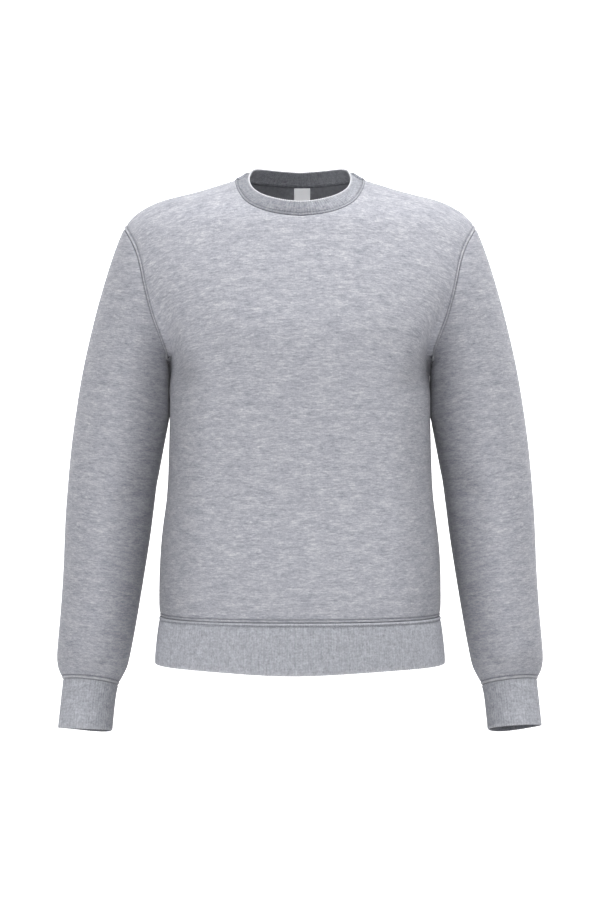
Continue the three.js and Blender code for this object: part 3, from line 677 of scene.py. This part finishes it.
def sleeve_points(columns, fan_rows, ring_rows):
    """The left sleeve: a fan of Hermite curves from the armhole to the first
    ring, leaving out and down, then rings down to the cuff. The fan is smoothed
    into the rings, and just under the armpit the cloth rests on the body."""
    half = columns // 2
    shares = np.arange(half + 1) / half
    front_half, back_half = [at_shares(armhole_curve(side), shares) for side in (-1, 1)]
    loop = np.concatenate([front_half, back_half[-2:0:-1]])
    climb = np.concatenate([shares, shares[-2:0:-1]])
    in_front = np.arange(columns) <= half
    turns = 2 * np.pi * np.arange(columns) / columns
    heights = np.linspace(fan_end_height, cuff_seam_height + 0.008, ring_rows)
    heights = np.concatenate([heights, cuff_seam_height + 0.008 * np.linspace(1, 0, 12)[1:]])
    rings, down = arm_rings(heights, turns)
    level = -np.cos(np.pi * climb)
    drop = 0.45 - 0.075 * level + 0.475 * level**2
    aside = np.where(in_front, -0.12, 0.16) * (1 - level**2)
    leave = np.stack([0.9 + 0.115 * level - 0.465 * level**2, aside, -drop], -1)
    leave /= np.linalg.norm(leave, axis=-1, keepdims=True)
    reach = np.linalg.norm(rings[0] - loop, axis=-1)[:, None]
    edge = 0.06 * np.linspace(0, 1, 12, endpoint=False)
    t = np.concatenate([edge, np.linspace(0.06, 1, fan_rows, endpoint=False)])[:, None, None]
    s = 1 - t
    fan = (1 + 2 * t) * s**2 * loop + t * s**2 * reach * (0.4 - 0.1 * level[:, None]) * leave
    fan = fan + t**2 * (3 - 2 * t) * rings[0] - t**2 * s * reach * down[0]
    points = np.concatenate([fan, rings])
    near = slice(len(fan) - fan_rows // 2, len(fan) + 20)
    for _ in range(30):
        part = points[near]
        part[1:-1] = (part[:-2] + 2 * part[1:-1] + part[2:]) / 4
    x, y, z = np.moveaxis(points[len(edge):], -1, 0)
    power = body(4, z)
    deep = np.minimum(np.abs(y / body_depth_limit(z, y)), 1)
    side_of_body = body(1, z) * (1 - deep**power) ** (1 / power)
    gap = np.maximum(x - side_of_body, 0)
    low = np.clip((z + 0.340) / 0.018, 0, 1) * np.clip((armpit_height + 0.004 - z) / 0.008, 0, 1)
    pressed = np.exp(-((gap / 0.008) ** 2)) * low
    points[len(edge):, :, 0] = np.where(low > 0, side_of_body + gap * (1 - pressed) + 0.0005 * pressed, x)
    return points


sleeve_base = sleeve_points(160, 44, 84)
sleeve_folds = {
    1: [
        # path seen from the front, depth, spread, skew, side of the sleeve
        (((0.196, -0.400), (0.222, -0.432), (0.252, -0.448)), 0.0022, 0.013, 0.1, -1),
        (((0.306, -0.612), (0.282, -0.632), (0.256, -0.648)), 0.0016, 0.010, 0.0, -1),
        (((0.245, -0.655), (0.262, -0.668), (0.284, -0.673)), 0.0016, 0.006, 0.0, -1),
        (((0.230, -0.640), (0.262, -0.655), (0.300, -0.660)), 0.0018, 0.008, 0.0, 1),
        (((0.205, -0.300), (0.235, -0.330), (0.265, -0.345)), 0.0020, 0.014, 0.0, 1),
        (((0.315, -0.470), (0.285, -0.490), (0.250, -0.495)), 0.0018, 0.012, 0.0, 1),
    ],
    -1: [
        (((-0.198, -0.412), (-0.224, -0.440), (-0.250, -0.452)), 0.0019, 0.013, -0.1, -1),
        (((-0.304, -0.620), (-0.280, -0.638), (-0.254, -0.652)), 0.0014, 0.010, 0.0, -1),
        (((-0.250, -0.658), (-0.266, -0.669), (-0.288, -0.672)), 0.0015, 0.006, 0.0, -1),
        (((-0.234, -0.646), (-0.264, -0.658), (-0.300, -0.664)), 0.0017, 0.008, 0.0, 1),
        (((-0.208, -0.306), (-0.238, -0.333), (-0.266, -0.350)), 0.0018, 0.014, 0.0, 1),
        (((-0.314, -0.480), (-0.284, -0.498), (-0.250, -0.505)), 0.0017, 0.012, 0.0, 1),
    ],
}


# How far above the cuff seam its allowance is stitched down.
cuff_stitch = 0.0046


def wrist_spokes(points):
    """Directions out of the cuff seam, from the sleeve's axis."""
    _, out, forward, _, _ = sleeve_sections[-1]
    middle = np.stack([out * np.sign(points[..., 0]), -forward + 0 * points[..., 1], points[..., 2]], -1)
    way = points - middle
    return way / np.linalg.norm(way, axis=-1, keepdims=True)


def arm_painted_shade(points, normals):
    """Painted shade: how much darker the arms are painted, most on their inner sides, where they face the
    body and shade falls.
    """
    return 0.07 + 0.40 * np.clip(-np.sign(points[..., 0]) * normals[..., 0], 0, 1) ** 1.2


def sleeve(name, side, node):
    """One sleeve; side -1 mirrors it to the wearer's right."""
    points = sleeve_base * (mirror if side < 0 else 1)
    normals = grid_normals(points, True, -side)
    along = run_along(points, 0)
    to_cuff = along[-1:] - along
    around = 2 * np.pi * np.arange(points.shape[1]) / points.shape[1]
    to_seam = np.minimum(around, 2 * np.pi - around)[None] * 0.06
    fade = np.clip(np.minimum(along, to_cuff) / 0.015, 0, 1)
    valley = 0
    for path, depth, spread, skew, facing in sleeve_folds[side]:
        turned = np.clip(0.5 + 1.5 * facing * normals[..., 1], 0, 1)
        valley = valley + trough(points, path, depth, spread, skew) * turned
    points = points - (valley * fade)[..., None] * normals
    normals = grid_normals(points, True, -side)
    points = press_seam(points, normals, along, None, armhole_spokes(points))
    points = press_seam(points, normals, to_cuff, cuff_stitch, wrist_spokes(points), 0.0016, 0.0004)
    points = press_seam(points, normals, to_seam, None, None, 0.0008)
    plain_seam = np.minimum(np.minimum(along, to_cuff), np.maximum(to_seam * 1.5, 0.0005))
    # Painted shade on the inner side of the arm, and more down the forearm.
    shade = arm_painted_shade(points, normals) + 0.06 * np.clip((-0.40 - points[..., 2]) / 0.15, 0, 1)
    down_axis = 0.992 * points[..., 2] - 0.12 * np.abs(points[..., 0])
    girth = np.stack([(around - np.pi)[None] * 0.062 + 0 * along, down_axis], -1)
    piece = sheet_mesh(name, points, girth, True, -side, plain_seam=plain_seam,
                       stitched_seam=np.maximum(to_cuff / cuff_stitch, 0.52), shade=shade)
    piece.data.materials.append(fleece)
    piece.data.materials.append(fleece_inside)
    thicken(piece, panel_thickness)
    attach(piece, "root")
    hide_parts(node)
    return points, normals, along


left_sleeve = sleeve("left_sleeve", 1, "sleeve_left")
right_sleeve = sleeve("right_sleeve", -1, "sleeve_right")

# Collar. A strip of 1x1 rib folded lengthwise, its two raw edges sewn together
# round the neckline. It leans in a little and its fold is soft and round.

rib_thickness = 0.0026
collar_edge_half_width = 0.0693
collar_edge_depth = {-1: 0.085, 1: 0.062}


# How far from the neck seam, on the collar, its allowance is stitched down.
neck_stitch = 0.0048


def rib_finish(name, light, middle, dark, ridge, pitch):
    """Heather rib: the fleece's colours drawn out along each rib, with painted shade
    between the ribs and fine loops as bump."""
    finish = Finish(name)

    def flecks(length, width, detail, seed):
        """The rib's own noise."""
        return finish.streaks(length, width, detail, seed, shift=1.3)

    mixed = 0.3 * flecks(0.0035, 0.012, 2.0, 2.9) + 0.25 * flecks(0.010, 0.003, 2.0, 9.1)
    mixed = mixed + 0.45 * flecks(0.0020, 0.0024, 2.0, 5.3)
    spot = finish.add("ShaderNodeUVMap", {"uv_map": "cloth"})
    turn = finish.add("ShaderNodeSeparateXYZ", Vector=spot) * (2 * np.pi / pitch)
    # Painted shade: a little darker in the grooves between the ribs, lighter on their tops.
    spread = (mixed - 0.5) * 3.0 + 0.47 + 0.04 * turn.join("COSINE", turn)
    color = finish.ramp(spread, [(0.0, dark), (0.5, middle), (1.0, light)])
    relief = 0.6 * flecks(0.0011, 0.0014, 3.0, 21.0) + 0.4 * flecks(0.003, 0.001, 1.0, 31.0)
    # Painted shade at the seam and under the stitches, and a painted highlight on the ridge beside it.
    color = finish.with_painted_light(color, linear(84, 86, 93), ridge)
    return finish.knit(color, relief, 0.3, 0.0005, 0.9)


# Light, middle and dark fibres, and the painted highlight on the ridge beside a seam.
rib_colors = (linear(222, 224, 231), linear(192, 194, 202), linear(158, 160, 169), linear(216, 218, 224))
# The collar's colours are the same rib's colours, painted darker as painted shade.
collar_painted_shade_colors = (linear(200, 202, 209), linear(172, 174, 182), linear(138, 140, 149), linear(180, 182, 189))


def collar_painted_shade(points, normals, inner):
    """Painted shade: how much darker the collar is painted in front and on its right than on its left,
    which faces the light; its inner face gets a little.
    """
    share = np.clip((points[..., 0] + 0.02) / 0.08, 0, 1)
    return np.where(inner, 0.12, 0.24 * (1 - share**2 * (3 - 2 * share)))


def folded_band(outer, thickness, outward):
    """Carries a band round its fold and back inside: outer face, half circle of
    half the thickness, inner face. Rows run from the seam to the fold and back."""
    normals = grid_normals(outer, True, outward)
    up = outer[-1] - outer[-2]
    up /= np.linalg.norm(up, axis=-1, keepdims=True)
    radius = thickness / 2
    turn = np.linspace(0, np.pi, 9)[:, None, None]
    edge = outer[-1] - radius * up
    fold = edge + radius * np.sin(turn) * up + radius * (np.cos(turn) - 1) * normals[-1]
    face = outer[:-1]
    return np.concatenate([face, fold, (face - thickness * normals[:-1])[::-1]])


def rib_relief(points, outward, per_rib, height, seam_fade):
    """Raises round ribs: height (2 |cos| - 1) across each, flatter at the seam."""
    normals = grid_normals(points, True, outward)
    wave = 2 * np.abs(np.cos(np.pi * np.arange(points.shape[1]) / per_rib)) - 1
    return points + height * (wave[None] * seam_fade)[..., None] * normals


def rib_band(name, outer, outward, per_rib, pitch, node, spokes, seam_stitch=None,
             colors=rib_colors, fold_painted_highlight=0.2, relief=0.00022, painted_shading=None, ditch=0.0016):
    """One folded rib band from its outer face's grid, seam row first. Its painted shade
    function gives how much painted shade darkens each point, and the fold's painted
    highlight how much its folded edge is lightened, as if lit."""
    along = run_along(outer, 0)
    face_normals = grid_normals(outer, True, outward)
    outer = press_seam(outer, face_normals, along, seam_stitch, spokes(outer), ditch, ditch / 2)
    points = folded_band(outer, rib_thickness, outward)
    run = run_along(points, 0)
    from_seam = np.minimum(run, run[-1:] - run)
    fade = np.clip(from_seam / 0.004, 0.15, 1)
    points = rib_relief(points, outward, per_rib, relief, fade)
    uv = np.stack([np.arange(points.shape[1])[None] * (pitch / per_rib) + 0 * run, run], -1)
    seam_share = from_seam / seam_stitch if seam_stitch else no_stitches
    inner = np.arange(len(points))[:, None] > len(outer) + 4
    fold_run = run[len(outer) + 3]
    # Painted highlight along the folded edge, as if the light caught it.
    fold = fold_painted_highlight * np.exp(-(((run - fold_run + 0.0014) / 0.0019) ** 2))
    shade = painted_shading(points, grid_normals(points, True, outward), inner) if painted_shading else 0.0
    piece = sheet_mesh(name, points, uv, True, outward, looped=True, shade=shade, fold=fold,
                       plain_seam=np.where(inner, from_seam / 2, from_seam),
                       stitched_seam=np.where(inner, no_stitches, seam_share))
    piece.data.materials.append(rib_finish(name + " heather rib", *colors, pitch))
    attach(piece, "root")
    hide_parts(node)
    return outer, face_normals, along


def band_shares(rows, length, edge=0.007):
    """Row shares down a band with fine rows beside the seam."""
    fine_share = edge / length
    close = fine_share * np.linspace(0, 1, 14, endpoint=False)
    return np.concatenate([close, np.linspace(fine_share, 1, rows)])


def collar_outer(ribs, per_rib):
    """The collar's outer face, from the neckline seam up to the fold: a little
    full in front, a little hollow over the shoulders."""
    dense = neck_curve(np.linspace(0, 180, 6001))
    run = run_along(dense, 0)
    front_run = run[len(run) // 2]
    count = ribs * per_rib
    half = np.arange(count // 2 + 1) / (count // 2) * run[-1]
    seam = np.stack([np.interp(half, run, dense[:, k]) for k in range(3)], -1)
    behind = (half - front_run) / (run[-1] - front_run)
    turn = np.where(half < front_run, 90 * half / front_run, 90 + 90 * behind)
    side = np.where(turn <= 90, -1, 1)
    depth = np.where(turn <= 90, collar_edge_depth[-1], collar_edge_depth[1])
    angle = np.radians(turn)
    across, ahead = collar_edge_half_width * np.sin(angle), side * depth * np.abs(np.cos(angle))
    fold = np.stack([across, ahead, neck(2, turn)], -1)
    share = band_shares(12, 0.024)[:, None, None]
    rows = seam + share * (fold - seam)
    lean = rows * np.array([1, 1, 0]) + np.array([0, 0, 0.040])
    lean /= np.linalg.norm(lean, axis=-1, keepdims=True)
    bulge = 0.0015 * np.clip(np.cos(angle), 0, 1) - 0.0021 * np.exp(-(((turn - 97) / 16) ** 2))
    rows = rows + bulge[:, None] * 4 * share * (1 - share) * lean
    return np.concatenate([rows, rows[:, -2:0:-1] * mirror], 1)


collar = rib_band("collar_rib", collar_outer(156, 6), 1, 6, 0.0030, "collar", neck_spokes,
                  seam_stitch=neck_stitch, colors=collar_painted_shade_colors, fold_painted_highlight=0.8, relief=0.00030,
                  painted_shading=collar_painted_shade, ditch=0.0010)

# Waistband. A wide strip of the same rib folded lengthwise, seamed at one side
# and sewn to the hem; its fold hangs a little wider than the seam.

waistband_sections = [
    # height, half width, front depth, back depth
    (-0.605, 0.1923, 0.1520, 0.1220),
    (-0.620, 0.1946, 0.1505, 0.1225),
    (-0.640, 0.1972, 0.1465, 0.1215),
    (-0.660, 0.1992, 0.1420, 0.1200),
    (-0.670, 0.1990, 0.1400, 0.1190),
]


def waistband_outer(ribs, per_rib):
    """The waistband's outer face: the hem seam's outline scaled to each section.
    Its fold dips in the middle of the front."""
    count = ribs * per_rib
    turns = np.pi * (fine - 0.5)
    front_half, back_half = [body_ring(hem_seam_height, turns, side) for side in (-1, 1)]
    whole = np.concatenate([front_half, back_half[-2:0:-1], front_half[:1]])
    seam = at_shares(whole, np.arange(count) / count)
    waist = flowing(waistband_sections)
    share = band_shares(14, 0.065)
    height = hem_seam_height + (waistband_sections[-1][0] - hem_seam_height) * share
    wide = waist(1, height) / waist(1, hem_seam_height)
    deep = [waist(k, height) / waist(k, hem_seam_height) for k in (2, 3)]
    x = seam[None, :, 0] * wide[:, None]
    y = seam[None, :, 1] * np.where(seam[None, :, 1] < 0, deep[0][:, None], deep[1][:, None])
    dip = 0.0064 * share[:, None] * np.exp(-(((x + 0.010) / 0.105) ** 2)) * (y < 0)
    return np.stack([x, y, height[:, None] - dip], -1)


waistband_stitch = 0.0052
waistband = rib_band("waistband_rib", waistband_outer(324, 6), -1, 6, 0.0033, "waistband",
                     hem_spokes, seam_stitch=waistband_stitch)

# Cuffs. Short folded tubes of the same rib, eased on to the sleeve ends.


def cuff_painted_shade(points, normals, inner):
    """Painted shade on a cuff's side towards the body, and on its inner face, where shade falls."""
    toward = np.clip(-np.sign(points[..., 0]) * normals[..., 0], 0, 1)
    return np.where(inner, 0.55, arm_painted_shade(points, normals) + 0.10 * toward**0.5)


def cuff_outer(ribs, per_rib, side):
    """A cuff's outer face on the sleeve's axis, seam first. Its fold hangs a little
    lower behind, towards the body."""
    turns = 2 * np.pi * np.arange(ribs * per_rib) / (ribs * per_rib)
    low = cuff_sections[-1][0] + (0.0025 if side > 0 else 0)
    share = band_shares(14, 0.068)
    rings, _ = arm_rings(cuff_seam_height + (low - cuff_seam_height) * share, turns)
    offset = rings - rings.mean(1, keepdims=True)
    behind = np.clip(offset[..., 1] / 0.025, 0, 1) * np.clip(0.5 - offset[..., 0] / 0.07, 0, 1)
    rings[..., 2] -= 0.0045 * share[:, None] ** 2 * behind
    return rings * (mirror if side < 0 else 1)


for name, side, node in (("left_cuff_rib", 1, "cuff_left"), ("right_cuff_rib", -1, "cuff_right")):
    rib_band(name, cuff_outer(66, 8, side), -side, 8, 0.0032, node, wrist_spokes,
             fold_painted_highlight=0.1, relief=0.0001, painted_shading=cuff_painted_shade)

# Label. A small woven label sewn into the middle of the back neck seam.

label_half_width = 0.0111
label_border = 0.0100
label_aside = 0.0014
label_drop = (0.0012, 0.0243)
label_gap = 0.0010


def label_points(rows, columns):
    """The label's face, hung along the inside of the back panel's middle."""
    middle_column = back_points.shape[1] // 2
    line = back_points[::-1, middle_column] - panel_thickness * back_normals[::-1, middle_column]
    run = run_along(line, 0)
    down = np.linspace(*label_drop, rows)
    centre = np.stack([np.interp(down, run, line[:, k]) for k in range(3)], -1)
    across = np.linspace(-label_half_width, label_half_width, columns)
    points = centre[:, None] + (across[None, :, None] + label_aside) * np.array([1.0, 0, 0])
    sag = 0.30 * across**2 / neck_half_width
    points[..., 1] -= label_gap + sag[None] + 0.0004 * np.sin(9 * down[:, None] / label_drop[1])
    return points, down, across


points, down, across = label_points(24, 24)
uv = np.stack(np.broadcast_arrays(across[None], down[:, None]), -1)
label = sheet_mesh("woven_label", points, uv, False, 1)
label_finish = Finish("woven label satin with painted glow")
weave_place = label_finish.add("ShaderNodeUVMap", {"uv_map": "cloth"})
weave = label_finish.add("ShaderNodeTexWave", {"bands_direction": "Y"}, out=1, Vector=weave_place,
                         Scale=500.0)
from_middle = label_finish.add("ShaderNodeSeparateXYZ", Vector=weave_place)
from_middle = from_middle.join("ABSOLUTE", from_middle)
border = from_middle.join("GREATER_THAN", from_middle, label_border)
label_color = label_finish.ramp(border, [(0.0, linear(236, 237, 240)), (1.0, linear(248, 248, 250))])
label_bump = label_finish.add("ShaderNodeBump", Height=weave, Strength=0.2, Distance=0.0002)
label_finish.feed(Base_Color=label_color, Roughness=0.6, Normal=label_bump)
# Painted light: the label glows a little, though it is no lamp, so it looks lit inside the neck.
label_finish.feed(Emission_Color=label_color, Emission_Strength=0.35)
label.data.materials.append(label_finish.material)
thicken(label, 0.0006)
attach(label, "root")
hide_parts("label")

# Stitching. Twin-needle lines hold the allowances down beside the neckline, the
# armholes, the waistband seam and above the cuffs.

thread = Finish("polyester thread")
thread.feed(Base_Color=linear(150, 152, 162), Roughness=0.7)
thread_radius = 0.00030
stitch_length = 0.0027
stitch_gap = 0.0007


def offset_line(points, along, distance):
    """The line a distance from the first row, along each column of a grid."""
    columns = []
    for k in range(points.shape[1]):
        columns.append([np.interp(distance, along[:, k], points[:, k, axis]) for axis in range(3)])
    return np.array(columns)


def stitch_line(name, line, normals, closed):
    """Stitches along a line: each a short thread, thinner and sunk at its ends."""
    if closed:
        line, normals = np.concatenate([line, line[:1]]), np.concatenate([normals, normals[:1]])
    run = run_along(line, 0)
    count = int(run[-1] / (stitch_length + stitch_gap))
    start = np.arange(count)[:, None] * (run[-1] / count)
    shares = np.linspace(0, 1, 7)[None]
    wanted = start + stitch_length * shares
    spot = np.stack([np.interp(wanted, run, line[:, k]) for k in range(3)], -1)
    up = np.stack([np.interp(wanted, run, normals[:, k]) for k in range(3)], -1)
    up /= np.linalg.norm(up, axis=-1, keepdims=True)
    way = np.gradient(spot, axis=1)
    way /= np.linalg.norm(way, axis=-1, keepdims=True)
    aside = np.cross(way, up)
    arch = np.sin(np.pi * shares)[..., None]
    thick = thread_radius * (0.35 + 0.65 * np.sqrt(arch))
    spot = spot + up * (0.0004 * arch - 0.0002)
    angle = 2 * np.pi * np.arange(6) / 6
    cosine, sine = np.cos(angle)[:, None], np.sin(angle)[:, None]
    ring = cosine * aside[:, :, None] + sine * up[:, :, None]
    points = spot[:, :, None] + thick[:, :, None] * ring
    number = np.arange(points[..., 0].size).reshape(points.shape[:3])
    after = np.roll(number, -1, 2)
    quads = np.stack([number[:, :-1], after[:, :-1], after[:, 1:], number[:, 1:]], -1).reshape(-1, 4)
    caps = np.concatenate([number[:, 0, ::-1], number[:, -1]])
    mesh = bpy.data.meshes.new(name)
    mesh.from_pydata(points.reshape(-1, 3), [], quads.tolist() + caps.tolist())
    mesh.shade_smooth()
    mesh.materials.append(thread.material)
    piece = bpy.data.objects.new(name, mesh)
    bpy.context.scene.collection.objects.link(piece)
    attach(piece, "root")


def side_line(points, normals, across, right, distance):
    """The line beside one armhole on one panel."""
    rows = points[:, 0, 2] > armpit_height + 0.001
    if right:
        points, normals, across = points[:, ::-1], normals[:, ::-1], across[:, -1:] - across[:, ::-1]
    picked = [np.swapaxes(part[rows], 0, 1) for part in (points, normals)]
    run = across[rows].T
    return offset_line(picked[0], run, distance), offset_line(picked[1], run, distance)


for name, points, normals, across in (("front", front_points, front_normals, front_across),
                                      ("back", back_points, back_normals, back_across)):
    for right in (False, True):
        line, up = side_line(points, normals, across, right, armhole_stitch)
        stitch_line(f"{name}_armhole_stitches_{'left' if right else 'right'}", line, up, False)

for name, points, normals, along in (("front", front_points, front_normals, front_along),
                                     ("back", back_points, back_normals, back_along)):
    stitch_line(f"{name}_hem_stitches", offset_line(points, along, hem_stitch),
                offset_line(normals, along, hem_stitch), False)

for name, band, distance in (("collar", collar, neck_stitch), ("waistband", waistband, waistband_stitch)):
    points, normals, along = band
    stitch_line(f"{name}_stitches", offset_line(points, along, distance),
                offset_line(normals, along, distance), True)

for name, (points, normals, along) in (("left", left_sleeve), ("right", right_sleeve)):
    above = (along[-1:] - along)[::-1]
    stitch_line(f"{name}_cuff_stitches", offset_line(points[::-1], above, cuff_stitch),
                offset_line(normals[::-1], above, cuff_stitch), True)

# Studio. A pale floor that sweeps up behind, soft boxes and the camera.

floor_height = -1.55


def sweep(x, run):
    """A floor that curves up into a wall far behind the garment."""
    bend = 1.2
    turn = np.clip((run - 3.0) / bend, 0, np.pi / 2)
    y = np.where(run < 3.0, run, 3.0 + bend * np.sin(turn))
    z = floor_height + bend * (1 - np.cos(turn)) + np.maximum(run - 3.0 - bend * np.pi / 2, 0)
    return np.stack([x, y, z], -1)


across_floor, along_floor = np.meshgrid(np.linspace(-9, 9, 3), np.linspace(-6, 12, 90))
backdrop_points = sweep(across_floor, along_floor)
backdrop = sheet_mesh("studio_sweep", backdrop_points, np.stack([across_floor, along_floor], -1), False)
pale = Finish("pale studio paint")
place = pale.add("ShaderNodeTexCoord", out=3)
behind = pale.add("ShaderNodeSeparateXYZ", out=1, Vector=place)
glow = pale.ramp((behind - 1.2) / 1.2, [(0.0, 0.02), (1.0, 1.0)])
pale.feed(Base_Color=(0.9, 0.9, 0.9, 1), Roughness=1.0, Emission_Color=glow, Emission_Strength=1.0)
pale.feed(Specular_IOR_Level=0.0)
backdrop.data.materials.append(pale.material)


def soft_light(name, place, size, power):
    """A square soft box aimed at the garment's middle."""
    lamp = bpy.data.lights.new(name, "AREA")
    lamp.size = size
    lamp.energy = power
    box = bpy.data.objects.new(name, lamp)
    bpy.context.scene.collection.objects.link(box)
    aim = np.array([0, 0, -0.35]) - np.array(place)
    turn = np.arctan2(np.hypot(aim[0], aim[1]), -aim[2])
    box.location = place
    box.rotation_euler = (turn, 0, np.arctan2(-aim[0], aim[1]))


soft_boxes = [
    # name, place, size, power
    ("top", (0.1, -0.5, 2.2), 1.6, 40),
    ("top_right", (1.8, -0.6, 1.9), 1.4, 29),
    ("top_front", (0.0, -1.9, 2.2), 1.4, 6),
    ("front", (0.3, -3.6, 0.3), 1.2, 26),
    ("left", (-2.6, -2.0, 0.3), 1.8, 24),
]
for soft_box in soft_boxes:
    soft_light(*soft_box)

world = bpy.data.worlds.new("studio")
world.use_nodes = True
world.node_tree.nodes["Background"].inputs[0].default_value = (1, 1, 1, 1)
world.node_tree.nodes["Background"].inputs[1].default_value = 0.1
bpy.context.scene.world = world

camera_data = bpy.data.cameras.new("photo view")
camera_data.lens = 90
camera_data.sensor_width = 36
camera = bpy.data.objects.new("photo view", camera_data)
camera.location = (0, -3.1, -0.378)
camera.rotation_euler = (np.pi / 2, 0, 0)
bpy.context.scene.collection.objects.link(camera)
bpy.context.scene.camera = camera
bpy.context.scene.view_settings.view_transform = "Standard"
